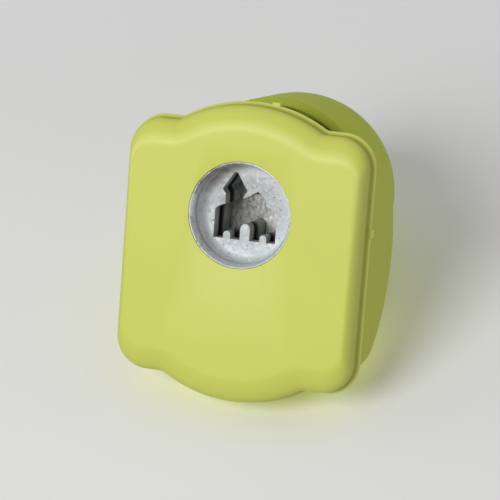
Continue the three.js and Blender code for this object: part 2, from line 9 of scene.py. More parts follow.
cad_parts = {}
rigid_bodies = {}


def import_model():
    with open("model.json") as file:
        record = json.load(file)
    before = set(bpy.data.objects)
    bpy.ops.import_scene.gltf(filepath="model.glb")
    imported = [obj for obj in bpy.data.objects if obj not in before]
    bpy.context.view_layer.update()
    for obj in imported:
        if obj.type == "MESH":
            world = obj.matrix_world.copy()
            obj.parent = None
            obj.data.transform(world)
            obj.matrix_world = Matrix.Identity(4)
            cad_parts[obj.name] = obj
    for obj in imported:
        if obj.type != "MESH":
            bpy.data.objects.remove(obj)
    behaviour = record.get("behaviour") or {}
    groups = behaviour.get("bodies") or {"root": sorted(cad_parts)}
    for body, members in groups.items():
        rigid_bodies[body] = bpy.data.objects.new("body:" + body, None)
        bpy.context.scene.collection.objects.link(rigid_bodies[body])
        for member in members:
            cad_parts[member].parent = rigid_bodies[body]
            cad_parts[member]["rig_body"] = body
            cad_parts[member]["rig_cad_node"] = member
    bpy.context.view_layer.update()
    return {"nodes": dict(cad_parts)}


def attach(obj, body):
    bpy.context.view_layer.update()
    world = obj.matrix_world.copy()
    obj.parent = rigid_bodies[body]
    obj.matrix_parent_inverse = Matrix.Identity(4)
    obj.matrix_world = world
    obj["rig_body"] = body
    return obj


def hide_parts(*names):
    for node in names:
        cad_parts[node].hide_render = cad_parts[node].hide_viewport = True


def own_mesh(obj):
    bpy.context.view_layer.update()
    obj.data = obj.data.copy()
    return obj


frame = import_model()

# Pieces are shaped in millimetres and brought to metres when they are finished
MM = 0.001

# Plan outline of the tray at its rim, as in the solids
TRAY_HALF_WIDTH = 17.0
LOBE_REACH = 17.5
ARC_REACH = 20.35
ARC_RADIUS = 19.0
LOBE_CORNER = 4.5
NOTCH_RADIUS = 1.2

# Rounding of the tray's face, which starts at an angle so that the face ends in a visible break
RIM_LIP = 0.4
SIDE_FILLET = 1.1
END_FILLET = 3.2
FILLET_RISE = 2.4
FILLET_START = 0.6
FILLET_STEPS = 10

# Height and inset of the tray above its rounding: groove, rolled lip, top of the rim and inner wall
RIM_HEIGHT = 4.7
RIM_PROFILE = [(2.7, 0.44), (3.0, 0.48), (3.3, 0.5), (3.55, 0.48), (3.7, 0.42), (3.82, 0.32), (3.92, 0.2)]
RIM_PROFILE += [(4.03, 0.1), (4.17, 0.02), (4.32, 0), (4.47, 0.03), (4.6, 0.11), (4.68, 0.25)]
RIM_PROFILE += [(RIM_HEIGHT, 0.42), (RIM_HEIGHT, 1.45), (4.66, 1.6), (4.55, 1.7), (2.0, 1.7)]

# Height, side inset and end inset of the tray's flat face, and of its floor inside the rim
TRAY_FLOOR = 1.4
FACE_RINGS = [(0, 1.95, 4.1), (0, 1.66, 3.75), (0.02, 1.56, 3.62)]
FLOOR_RINGS = [(1.6, 1.85, 2.2), (TRAY_FLOOR, 2.3, 3.2), (TRAY_FLOOR, 2.6, 3.5)]

# Gate stubs on the rim, with their reach out of it and into it, and pegs on the tray's floor
FRONT_GATE_X = 2.7
SIDE_GATE_Y = -4.6
GATE_HALF_WIDTH = 0.55
GATE_LOW = 3.92
GATE_HIGH = 4.52
GATE_REACH = 0.35
GATE_ROOT = 0.6
PEG_X = 11.2
PEG_PLACES_Y = (-12.6, 6.0)
PEG_RADIUS = 1.1
PEG_LOW = 0.7
PEG_TOP = 3.3

# Heights and places of the main parts
PUNCH_Y = -5.5
HOLE_RADIUS = 7.15
DIE_BOTTOM = 1.7
THROAT_TOP = 7.3
DECK_TOP = 8.3
GUIDE_PLATE_TOP = 8.9
REAR_EDGE = 11.75

# Mouth of the die, wider at its foot
MOUTH_RADIUS = 7.03
MOUTH_TOP_RADIUS = 6.4
MOUTH_LOW = -0.2
MOUTH_TOP = 1.6

# Body shell
CHEEK_HALF_WIDTH = 15.6
SHELL_SIDE = 1.4
SHELL_END = 1.3
SHELL_WALL = 1.3
SHELL_FOOT = 5.0
ARCH_REACH = 17.2
ARCH_RISE = 19.8
ARCH_BASE = 2.0
PILLAR_RADIUS = 12.6
PILLAR_BASE = 9.4
PILLAR_RISE = 6.4
FRAME_SCREW_X = 6.4
FRAME_SCREW_Y = 9.0

# Seat of the guide block's plate in the deck: a disc round the blade and a block behind it
SEAT_HALF_WIDTH = 8.75
SEAT_REAR = 11.15
SEAT_RADIUS = 9.75

# Radius, foot and top of the screw bosses in the shell, and of their holes
FRAME_BOSS = (2.2, 7.8, 14.4)
FRAME_HOLE = (1.25, 8, 13.2)

# Height, side inset and end inset of the shell's foot inside the tray
FOOT_RINGS = [(DIE_BOTTOM, 2.6, 3.65), (DIE_BOTTOM + 0.2, 2.25, 2.75)]
FOOT_RINGS += [(DIE_BOTTOM + 0.55, 2.05, 2.05), (THROAT_TOP, 2.05, 2.05)]

# Reach of cutting blocks past everything
WIDE = 20
FAR = 22
HIGH = 24

# Button cap and the sleeve that it slides on
CAP_Y = -6.4
CAP_RADIUS = 13.85
CAP_WALL = 1.0
CAP_GAP = 0.3
CAP_FOOT = 16.2
CAP_SCREW_X = 6.6
BOSS_FOOT = 26.8
BOSS_TOP = 37.6
APRON_FOOT = 13.5
APRON_REAR = -8.0
APRON_GAP = 0.35
DOME_BASE = 25.6
DOME_RISE = 13.8
SLEEVE_OUTER = 11.9
SLEEVE_INNER = 10.7
SLEEVE_TOP = 18.05
BEAD_LOW = 17.25
BEAD_REACH = 0.6

# Return spring
SPRING_RADIUS = 8.1
SPRING_TURNS = 5.5
WIRE_RADIUS = 0.5
SPRING_FOOT = 9.5
SPRING_LENGTH = 15.0


# Selection and editing

def alone(piece):
    """Selects one object alone and makes it the active one."""
    bpy.ops.object.select_all(action="DESELECT")
    piece.select_set(True)
    bpy.context.view_layer.objects.active = piece


def named(name):
    """Names the primitive that was added last."""
    piece = bpy.context.active_object
    piece.name = piece.data.name = name
    return piece


def open_edit(piece, kind="FACE"):
    """Goes into edit mode on one piece with nothing selected."""
    alone(piece)
    bpy.ops.object.mode_set(mode="EDIT")
    bpy.ops.mesh.select_mode(type=kind)
    bpy.ops.mesh.select_all(action="DESELECT")


def close_edit():
    bpy.ops.object.mode_set(mode="OBJECT")


def pick(piece, wanted):
    """Opens edit mode with the edges selected that the test wants, and says how many there are."""
    open_edit(piece, "EDGE")
    found = [edge for edge in bmesh.from_edit_mesh(piece.data).edges if wanted(edge)]
    for edge in found:
        edge.select_set(True)
    bmesh.update_edit_mesh(piece.data)
    return len(found)


def settle(piece):
    """Applies place, turn and scale to the mesh."""
    alone(piece)
    bpy.ops.object.transform_apply(location=True, rotation=True, scale=True)
    return piece


def outward(piece):
    """Merges doubles and turns all faces outwards."""
    open_edit(piece)
    bpy.ops.mesh.select_all(action="SELECT")
    bpy.ops.mesh.remove_doubles(threshold=0.0005)
    bpy.ops.mesh.normals_make_consistent(inside=False)
    close_edit()
    return piece


def modified(piece, kind, **settings):
    """Adds a modifier with its settings and applies it."""
    alone(piece)
    modifier = piece.modifiers.new(kind.lower(), kind)
    for key, value in settings.items():
        setattr(modifier, key, value)
    bpy.ops.object.modifier_apply(modifier=modifier.name)
    return piece


def carve(piece, tool, operation="DIFFERENCE"):
    """Cuts with, joins or keeps the shared part of a tool, and takes the tool away."""
    modified(piece, "BOOLEAN", operation=operation, object=tool, solver="MANIFOLD")
    bpy.data.objects.remove(tool, do_unlink=True)
    return piece


def merge(piece, *others):
    """Joins other objects into one piece."""
    alone(piece)
    for other in others:
        other.select_set(True)
    bpy.ops.object.join()
    return piece


# Starting shapes

def block(name, low, high):
    size = [b - a for a, b in zip(low, high)]
    middle = [(a + b) / 2 for a, b in zip(low, high)]
    bpy.ops.mesh.primitive_cube_add(size=1, location=middle, scale=size)
    return settle(named(name))


def rod(name, radius, low, high, x=0.0, y=PUNCH_Y, steps=128):
    middle = (x, y, (low + high) / 2)
    bpy.ops.mesh.primitive_cylinder_add(vertices=steps, radius=radius, depth=high - low, location=middle)
    return settle(named(name))


def plaque(name, height, side, end, filled=False):
    """The tray's plan outline, drawn in: a point is drawn out and spun, and the quarter mirrored."""
    half = TRAY_HALF_WIDTH - side
    lobe = LOBE_REACH - end
    corner = max(LOBE_CORNER - (side + end) / 3, LOBE_CORNER / 4)
    arc = ARC_RADIUS - end
    arc_middle = ARC_REACH - ARC_RADIUS
    notch = NOTCH_RADIUS + end
    notch_x = math.sqrt((arc + notch) ** 2 - (lobe + notch - arc_middle) ** 2)
    meet = math.atan2(lobe + notch - arc_middle, notch_x)
    bpy.ops.object.select_all(action="DESELECT")
    bpy.ops.mesh.primitive_plane_add(size=1, location=(half, 0, height))
    outline = settle(named(name))
    open_edit(outline, "VERT")
    bpy.ops.mesh.select_all(action="SELECT")
    bpy.ops.mesh.merge(type="CENTER")
    bpy.ops.mesh.extrude_vertices_move(TRANSFORM_OT_translate={"value": (0, lobe - corner, 0)})
    # The operator turns clockwise for a positive angle
    turn = {"axis": (0, 0, 1), "dupli": False}
    bpy.ops.mesh.spin(steps=14, angle=-math.pi / 2, center=(half - corner, lobe - corner, height), **turn)
    bpy.ops.mesh.extrude_vertices_move(TRANSFORM_OT_translate={"value": (notch_x - half + corner, 0, 0)})
    bpy.ops.mesh.spin(steps=8, angle=math.pi / 2 - meet, center=(notch_x, lobe + notch, height), **turn)
    bpy.ops.mesh.spin(steps=22, angle=meet - math.pi / 2, center=(0, arc_middle, height), **turn)
    close_edit()
    modified(outline, "MIRROR", use_axis=(True, True, False), merge_threshold=0.001)
    open_edit(outline, "EDGE")
    bpy.ops.mesh.select_all(action="SELECT")
    bpy.ops.mesh.remove_doubles(threshold=0.001)
    if filled:
        bpy.ops.mesh.edge_face_add()
    close_edit()
    return outline


def open_edge(edge):
    return len(edge.link_faces) < 2


def skin(name, rings):
    """Closed body through plan outlines, given as height, side inset and end inset and bridged one by one."""
    body = plaque(name, *rings[0], filled=True)
    for ring in rings[1:]:
        merge(body, plaque("ring", *ring))
        pick(body, open_edge)
        bpy.ops.mesh.bridge_edge_loops()
        close_edit()
    pick(body, open_edge)
    bpy.ops.mesh.edge_face_add()
    close_edit()
    return outward(body)


def domed(name, radius, base, rise, foot, y):
    """Round post with a domed top: half a flattened sphere with its edge drawn down."""
    bpy.ops.mesh.primitive_uv_sphere_add(segments=128, ring_count=64, radius=radius, location=(0, y, base))
    dome = named(name)
    dome.scale = (1, 1, rise / radius)
    settle(dome)
    open_edit(dome)
    bpy.ops.mesh.select_all(action="SELECT")
    bpy.ops.mesh.bisect(plane_co=(0, y, base), plane_no=(0, 0, 1), clear_inner=True, threshold=0.0001)
    close_edit()
    pick(dome, open_edge)
    bpy.ops.mesh.extrude_edges_move(TRANSFORM_OT_translate={"value": (0, 0, foot - base)})
    close_edit()
    return outward(dome)


def close_holes(piece):
    """Fills what is open."""
    pick(piece, open_edge)
    bpy.ops.mesh.edge_face_add()
    close_edit()
    return outward(piece)


def soften(piece, wanted, width, segments=3):
    """Rounds the edges that the test wants."""
    found = pick(piece, wanted)
    if found:
        bpy.ops.mesh.bevel(offset=width, segments=segments, affect="EDGES", clamp_overlap=True)
    close_edit()
    return piece


def finished(piece, angle=35):
    """Smooths all but the sharp edges and brings the piece from millimetres to metres."""
    alone(piece)
    bpy.ops.object.shade_smooth_by_angle(angle=math.radians(angle))
    piece.scale = (MM, MM, MM)
    bpy.ops.object.transform_apply(location=True, rotation=True, scale=True)
    return piece


def upright(edge):
    """Wants the vertical edges of the castle."""
    a, b = (v.co for v in edge.verts)
    vertical = math.hypot(a.x - b.x, a.y - b.y) < 0.01 and abs(a.z - b.z) > 0.5
    return vertical and math.hypot(a.x, a.y - PUNCH_Y) < 6.5


def stand_in(node, bevel, segments=2):
    """A merged copy of a CAD node's mesh with its edges broken."""
    alone(frame["nodes"][node])
    bpy.ops.object.duplicate(linked=False)
    copy = bpy.context.active_object
    copy.name = copy.data.name = "dressed_" + node
    copy.parent = None
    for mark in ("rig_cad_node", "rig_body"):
        if mark in copy:
            del copy[mark]
    copy.data.materials.clear()
    copy.scale = (1 / MM, 1 / MM, 1 / MM)
    settle(copy)
    open_edit(copy)
    bpy.ops.mesh.select_all(action="SELECT")
    bpy.ops.mesh.remove_doubles(threshold=0.002)
    bpy.ops.mesh.dissolve_limited(angle_limit=math.radians(0.5))
    close_edit()
    soften(copy, lambda edge: upright(edge) and edge.calc_face_angle(0) > 0.5, 0.16, 3)
    limit = {"limit_method": "ANGLE", "angle_limit": math.radians(40)}
    modified(copy, "BEVEL", use_clamp_overlap=True, width=bevel, segments=segments, **limit)
    return copy


# Base tray

def make_tray():
    rings = list(FACE_RINGS)
    for step in range(FILLET_STEPS):
        turn = FILLET_START + (math.pi / 2 - FILLET_START) * (step + 0.5) / (FILLET_STEPS - 0.5)
        inset = (1 - math.sin(turn)) / (1 - math.sin(FILLET_START))
        rise = 1 - math.cos(turn) / math.cos(FILLET_START)
        rings.append((FILLET_RISE * rise, RIM_LIP + SIDE_FILLET * inset, RIM_LIP + END_FILLET * inset))
    rings += [(height, inset, inset) for height, inset in RIM_PROFILE]
    tray = skin("tray", rings + FLOOR_RINGS)
    carve(tray, rod("die_hole", HOLE_RADIUS, -1, 3, steps=160))

    def hole_edge(edge):
        a, b = (v.co for v in edge.verts)
        on_hole = [abs(math.hypot(end.x, end.y - PUNCH_Y) - HOLE_RADIUS) < 0.01 for end in (a, b)]
        return all(on_hole) and abs(a.z - b.z) < 0.01

    soften(tray, hole_edge, 0.1)
    front_rim = -(ARC_REACH - ARC_RADIUS) - math.sqrt(ARC_RADIUS**2 - FRONT_GATE_X**2)
    front_low = (FRONT_GATE_X - GATE_HALF_WIDTH, front_rim - GATE_REACH, GATE_LOW)
    front_high = (FRONT_GATE_X + GATE_HALF_WIDTH, front_rim + GATE_ROOT, GATE_HIGH)
    side_low = (TRAY_HALF_WIDTH - GATE_ROOT, SIDE_GATE_Y - GATE_HALF_WIDTH, GATE_LOW)
    side_high = (TRAY_HALF_WIDTH + GATE_REACH, SIDE_GATE_Y + GATE_HALF_WIDTH, GATE_HIGH)
    for stub in (block("front_stub", front_low, front_high), block("side_stub", side_low, side_high)):
        soften(stub, lambda edge: True, 0.09)
        carve(tray, stub, "UNION")
    for x in (-PEG_X, PEG_X):
        for y in PEG_PLACES_Y:
            carve(tray, rod("peg", PEG_RADIUS, PEG_LOW, PEG_TOP, x, y, 32), "UNION")
    return finished(tray)


# Die plate

def make_die():
    """The CAD node's die with its mouth flared, so that no flat ring is left round the recess."""
    die = stand_in("die_plate", 0.12, segments=3)
    size = {"radius1": MOUTH_RADIUS, "radius2": MOUTH_TOP_RADIUS, "depth": MOUTH_TOP - MOUTH_LOW}
    place = (0, PUNCH_Y, (MOUTH_LOW + MOUTH_TOP) / 2)
    bpy.ops.mesh.primitive_cone_add(vertices=160, location=place, **size)
    return carve(die, settle(named("flare")))


# Button cap

def make_cap():
    cap = domed("cap", CAP_RADIUS, DOME_BASE, DOME_RISE, APRON_FOOT, CAP_Y)
    modified(cap, "SOLIDIFY", thickness=CAP_WALL, offset=-1, use_even_offset=True, use_rim=True)
    outward(cap)
    carve(cap, block("behind_apron", (-WIDE, APRON_REAR, 10), (WIDE, 12, CAP_FOOT)))

    def outer(edge):
        return all(math.hypot(v.co.x, v.co.y - CAP_Y) > CAP_RADIUS - 0.2 for v in edge.verts)

    def foot_edge(edge):
        level = edge.verts[0].co.z
        at_foot = min(abs(level - CAP_FOOT), abs(level - APRON_FOOT)) < 0.01
        return at_foot and abs(edge.verts[1].co.z - level) < 0.01 and edge.calc_face_angle(0) > 1

    soften(cap, lambda edge: foot_edge(edge) and outer(edge), 0.7, 5)
    soften(cap, lambda edge: foot_edge(edge) and not outer(edge), 0.2, 2)
    side_boss = (2.3, 1.1, 31.5)
    bosses = ((0, (3.4, 2.2, 29.2)), (-CAP_SCREW_X, side_boss), (CAP_SCREW_X, side_boss))
    for x, (radius, bore_radius, bore_top) in bosses:
        carve(cap, rod("boss", radius, BOSS_FOOT, BOSS_TOP - abs(x) / 3, x, PUNCH_Y, 48), "UNION")
        carve(cap, rod("bore", bore_radius, BOSS_FOOT - 0.8, bore_top, x, PUNCH_Y, 32))
    return finished(cap)


# Body shell

def arch_block(name, inset, low):
    """Half ellipse in side view, from cheek to cheek."""
    width = 2 * (CHEEK_HALF_WIDTH - inset)
    turn = (0, math.pi / 2, 0)
    place = (0, 0, ARCH_BASE)
    bpy.ops.mesh.primitive_cylinder_add(vertices=256, radius=1, depth=width, location=place, rotation=turn)
    arch = named(name)
    bpy.ops.object.transform_apply(location=False, rotation=True, scale=True)
    arch.scale = (1, ARCH_REACH - inset, ARCH_RISE - inset)
    settle(arch)
    open_edit(arch)
    bpy.ops.mesh.select_all(action="SELECT")
    bpy.ops.mesh.bisect(plane_co=(0, 0, low), plane_no=(0, 0, 1), clear_inner=True, use_fill=True)
    close_edit()
    return outward(arch)


def plan_block(name, low, high, side, end):
    """The tray's plan outline, drawn in, raised from one height to another."""
    body = plaque(name, low, side, end, filled=True)
    open_edit(body)
    bpy.ops.mesh.select_all(action="SELECT")
    bpy.ops.mesh.extrude_region_move(TRANSFORM_OT_translate={"value": (0, 0, high - low)})
    close_edit()
    return outward(body)


def make_shell():
    shell = arch_block("shell", 0, SHELL_FOOT)

    def cheek_edge(edge):
        outer = all(abs(abs(v.co.x) - CHEEK_HALF_WIDTH) < 0.01 for v in edge.verts)
        return outer and not all(v.co.z < SHELL_FOOT + 0.01 for v in edge.verts)

    soften(shell, cheek_edge, 0.8, 5)
    carve(shell, plan_block("plan", SHELL_FOOT - 0.5, HIGH, SHELL_SIDE, SHELL_END), "INTERSECT")
    pillar_y = ARC_REACH - SHELL_END - PILLAR_RADIUS
    pillar = domed("pillar", PILLAR_RADIUS, PILLAR_BASE, PILLAR_RISE, SHELL_FOOT, pillar_y)
    close_holes(pillar)
    carve(shell, pillar, "UNION")
    deck = plan_block("deck", THROAT_TOP, DECK_TOP, SHELL_SIDE, SHELL_END)
    carve(deck, block("deck_rear", (-WIDE, 0, 7), (WIDE, FAR, 9)))
    carve(shell, deck, "UNION")
    carve(shell, rod("cap_path", CAP_RADIUS + CAP_GAP, DECK_TOP, HIGH, 0, CAP_Y, 160))
    apron_path = rod("apron_path", CAP_RADIUS + CAP_GAP, THROAT_TOP - 1, DECK_TOP + 1, 0, CAP_Y, 160)
    core_radius = CAP_RADIUS - CAP_WALL - APRON_GAP
    carve(apron_path, rod("apron_core", core_radius, THROAT_TOP - 2, DECK_TOP + 2, 0, CAP_Y, 160))
    carve(apron_path, block("apron_rear", (-WIDE, APRON_REAR + APRON_GAP, 5), (WIDE, 12, 11)))
    carve(shell, apron_path)
    inside = arch_block("inside", SHELL_WALL, DECK_TOP)
    inner_inset = (SHELL_SIDE + SHELL_WALL, SHELL_END + SHELL_WALL)
    inner_plan = plan_block("inner_plan", DECK_TOP - 0.5, HIGH, *inner_inset)
    carve(shell, carve(inside, inner_plan, "INTERSECT"))
    carve(shell, block("throat", (-WIDE, -FAR, 0), (WIDE, REAR_EDGE, THROAT_TOP)))
    plug = skin("plug", FOOT_RINGS)
    carve(plug, block("plug_front", (-WIDE, -FAR, 0), (WIDE, REAR_EDGE, 9)))
    carve(shell, plug, "UNION")
    sleeve = rod("sleeve", SLEEVE_OUTER, THROAT_TOP + 0.2, SLEEVE_TOP, 0, CAP_Y, 128)
    bead = rod("bead", SLEEVE_OUTER + BEAD_REACH, BEAD_LOW, SLEEVE_TOP, 0, CAP_Y, 128)
    soften(bead, lambda edge: all(v.co.z > 18 for v in edge.verts) and edge.calc_face_angle(0) > 1, 0.58, 4)
    carve(sleeve, bead, "UNION")
    carve(sleeve, rod("sleeve_bore", SLEEVE_INNER, 6, 19, 0, CAP_Y, 128))
    carve(shell, sleeve, "UNION")
    for x in (-FRAME_SCREW_X, FRAME_SCREW_X):
        carve(shell, rod("boss", *FRAME_BOSS, x, FRAME_SCREW_Y, 48), "UNION")
    carve(shell, block("seat", (-SEAT_HALF_WIDTH, PUNCH_Y, 6), (SEAT_HALF_WIDTH, SEAT_REAR, GUIDE_PLATE_TOP)))
    carve(shell, rod("disc_seat", SEAT_RADIUS, 6, GUIDE_PLATE_TOP, 0, PUNCH_Y, 128))
    for x in (-FRAME_SCREW_X, FRAME_SCREW_X):
        carve(shell, rod("screw_hole", *FRAME_HOLE, x, FRAME_SCREW_Y, 32))
    return finished(shell)


# Return spring

def make_spring():
    place = (SPRING_RADIUS, 0, 0)
    turn = (math.pi / 2, 0, 0)
    bpy.ops.mesh.primitive_circle_add(vertices=16, radius=WIRE_RADIUS, location=place, rotation=turn)
    spring = settle(named("spring"))
    settings = {"angle": 2 * math.pi * SPRING_TURNS, "screw_offset": SPRING_LENGTH - 2 * WIRE_RADIUS}
    modified(spring, "SCREW", axis="Z", use_merge_vertices=False, steps=240, render_steps=240, **settings)
    pick(spring, open_edge)
    bpy.ops.mesh.edge_face_add()
    close_edit()
    outward(spring)
    spring.location = (0, PUNCH_Y, SPRING_FOOT + WIRE_RADIUS)
    return finished(settle(spring), 50)


# Shader helpers

def new_group(name, inputs, outputs):
    """A node group with named sockets, and its two ends."""
    group = bpy.data.node_groups.new(name, "ShaderNodeTree")
    for label, kind, value in inputs:
        group.interface.new_socket(name=label, in_out="INPUT", socket_type=kind).default_value = value
    for label, kind in outputs:
        group.interface.new_socket(name=label, in_out="OUTPUT", socket_type=kind)
    return group, group.nodes.new("NodeGroupInput"), group.nodes.new("NodeGroupOutput")


def node(tree, kind, **settings):
    made = tree.nodes.new("ShaderNode" + kind)
    for key, value in settings.items():
        setattr(made, key, value)
    return made


def wire(tree, source, target):
    tree.links.new(source, target)


def feed(tree, value, socket):
    """Sets a socket to a number or a colour, or wires an output to it."""
    if isinstance(value, tuple):
        socket.default_value = (*value, 1)
    elif isinstance(value, (int, float)):
        socket.default_value = value
    else:
        wire(tree, value, socket)


def noise(tree, place, scale, detail, rough):
    made = node(tree, "TexNoise")
    made.inputs["Detail"].default_value = detail
    made.inputs["Roughness"].default_value = rough
    wire(tree, place, made.inputs["Vector"])
    feed(tree, scale, made.inputs["Scale"])
    return made.outputs["Fac"]


def ranged(tree, value, low, high, out_low=0.0, out_high=1.0):
    made = node(tree, "MapRange")
    wire(tree, value, made.inputs["Value"])
    for label, number in (("From Min", low), ("From Max", high), ("To Min", out_low), ("To Max", out_high)):
        made.inputs[label].default_value = number
    return made.outputs["Result"]


def ranged_mm(tree, value, low, high, out_low=0.0, out_high=1.0):
    """The same with the limits in millimetres."""
    return ranged(tree, value, low * MM, high * MM, out_low, out_high)


def calc(tree, operation, first, second):
    made = node(tree, "Math", operation=operation)
    for value, socket in zip((first, second), made.inputs):
        feed(tree, value, socket)
    return made.outputs[0]


def times(tree, first, second):
    return calc(tree, "MULTIPLY", first, second)


def vector(tree, operation, first, second=(0, 0, 0)):
    """Vector maths with a fixed second value."""
    made = node(tree, "VectorMath", operation=operation)
    wire(tree, first, made.inputs[0])
    made.inputs[1].default_value = second
    return made.outputs


def axes(tree, place):
    """The X, Y and Z of a place."""
    split = node(tree, "SeparateXYZ")
    wire(tree, place, split.inputs["Vector"])
    return split.outputs


def stretched(tree, place, scale, turn=(0, 0, 0)):
    made = node(tree, "Mapping")
    made.inputs["Rotation"].default_value = turn
    made.inputs["Scale"].default_value = scale
    wire(tree, place, made.inputs["Vector"])
    return made.outputs["Vector"]


def blended(tree, share, first, second):
    made = node(tree, "Mix", data_type="RGBA")
    for value, socket in ((share, made.inputs[0]), (first, made.inputs[6]), (second, made.inputs[7])):
        feed(tree, value, socket)
    return made.outputs[2]


# Effects that several finishes share

def grain_group():
    """Fine surface grain: a soft mask and a normal."""
    sockets = [("Scale", "NodeSocketFloat", 1800.0), ("Depth", "NodeSocketFloat", 0.00002)]
    outputs = [("Mask", "NodeSocketFloat"), ("Normal", "NodeSocketVector")]
    group, start, end = new_group("surface_grain", sockets, outputs)
    place = node(group, "TexCoord").outputs["Object"]
    fine = noise(group, place, start.outputs["Scale"], 3.0, 0.6)
    broad = noise(group, place, times(group, start.outputs["Scale"], 0.12), 2.0, 0.5)
    bump = node(group, "Bump")
    bump.inputs["Strength"].default_value = 1.0
    wire(group, calc(group, "ADD", fine, times(group, broad, 1.6)), bump.inputs["Height"])
    wire(group, start.outputs["Depth"], bump.inputs["Distance"])
    wire(group, fine, end.inputs["Mask"])
    wire(group, bump.outputs["Normal"], end.inputs["Normal"])
    return group


def scuff_group():
    """Faint scuffed patches and short scratches from handling."""
    sockets = [("Amount", "NodeSocketFloat", 0.3)]
    group, start, end = new_group("handling_marks", sockets, [("Mask", "NodeSocketFloat")])
    place = node(group, "TexCoord").outputs["Object"]
    drawn = stretched(group, place, (1.0, 0.12, 0.3), (0.4, 0.2, 0.7))
    lines = ranged(group, noise(group, drawn, 2600.0, 4.0, 0.7), 0.66, 0.74)
    patches = ranged(group, noise(group, place, 130.0, 3.0, 0.5), 0.52, 0.7)
    wire(group, times(group, times(group, lines, patches), start.outputs["Amount"]), end.inputs["Mask"])
    return group


GRAIN = grain_group()
SCUFF = scuff_group()


def finish_base(name, **sockets):
    """New material with its shader, and its sockets set."""
    material = bpy.data.materials.new(name)
    material.use_nodes = True
    tree = material.node_tree
    shader = tree.nodes["Principled BSDF"]
    for label, value in sockets.items():
        shader.inputs[label.replace("_", " ")].default_value = value
    return material, tree, shader


def placed(tree, group, **values):
    made = node(tree, "Group", node_tree=group)
    for label, value in values.items():
        made.inputs[label].default_value = value
    return made.outputs


def lime_plastic(name, colour, deep, shine, band, shade, painted_highlight):
    """Moulded plastic, faintly cloudy and marked, with painted shade in a band of heights.

    The band is given by its low end, high end and fade in millimetres. The edge above it and the front
    edge of the face carry a painted highlight.
    """
    sockets = {"Specular_IOR_Level": shine, "Subsurface_Weight": 0.12, "Subsurface_Scale": 0.0011}
    material, tree, shader = finish_base(name, Subsurface_Radius=(1.0, 0.9, 0.35), **sockets)
    place = node(tree, "TexCoord").outputs["Object"]
    cloud = ranged(tree, noise(tree, place, 70.0, 3.0, 0.5), 0.3, 0.7)
    grain = placed(tree, GRAIN, Scale=1500.0, Depth=0.000010)
    marks = placed(tree, SCUFF, Amount=0.35)["Mask"]
    base = blended(tree, cloud, colour, deep)
    base = blended(tree, marks, base, (0.78, 0.8, 0.5))

    low, high, fade = band
    height = axes(tree, place)["Z"]
    # Painted shade: the band of heights is made darker and more olive
    inside = ranged_mm(tree, height, low - 0.7, low + 0.7, 0.0, 0.65)
    inside = times(tree, inside, ranged_mm(tree, height, high + fade, high - fade))
    base = blended(tree, inside, base, shade)

    # Painted highlight: the lip above the band and the front edge of the face are made lighter
    lip = ranged_mm(tree, height, high + 0.1, high + 0.25, 0.0, painted_highlight)
    lip = times(tree, lip, ranged_mm(tree, height, high + 0.8, high + 0.6))
    ledge = ranged_mm(tree, height, 0.01, 0.07, 0.0, 0.7 * painted_highlight)
    ledge = times(tree, ledge, ranged_mm(tree, height, 0.6, 0.12))
    ledge = times(tree, ledge, ranged_mm(tree, axes(tree, place)["Y"], 4, -11))
    base = blended(tree, calc(tree, "MAXIMUM", lip, ledge), base, (0.86, 0.89, 0.32))

    wire(tree, base, shader.inputs["Base Color"])
    rough = calc(tree, "ADD", 0.34, times(tree, grain["Mask"], 0.08))
    wire(tree, calc(tree, "ADD", rough, times(tree, marks, 0.3)), shader.inputs["Roughness"])
    wire(tree, grain["Normal"], shader.inputs["Normal"])
    return material


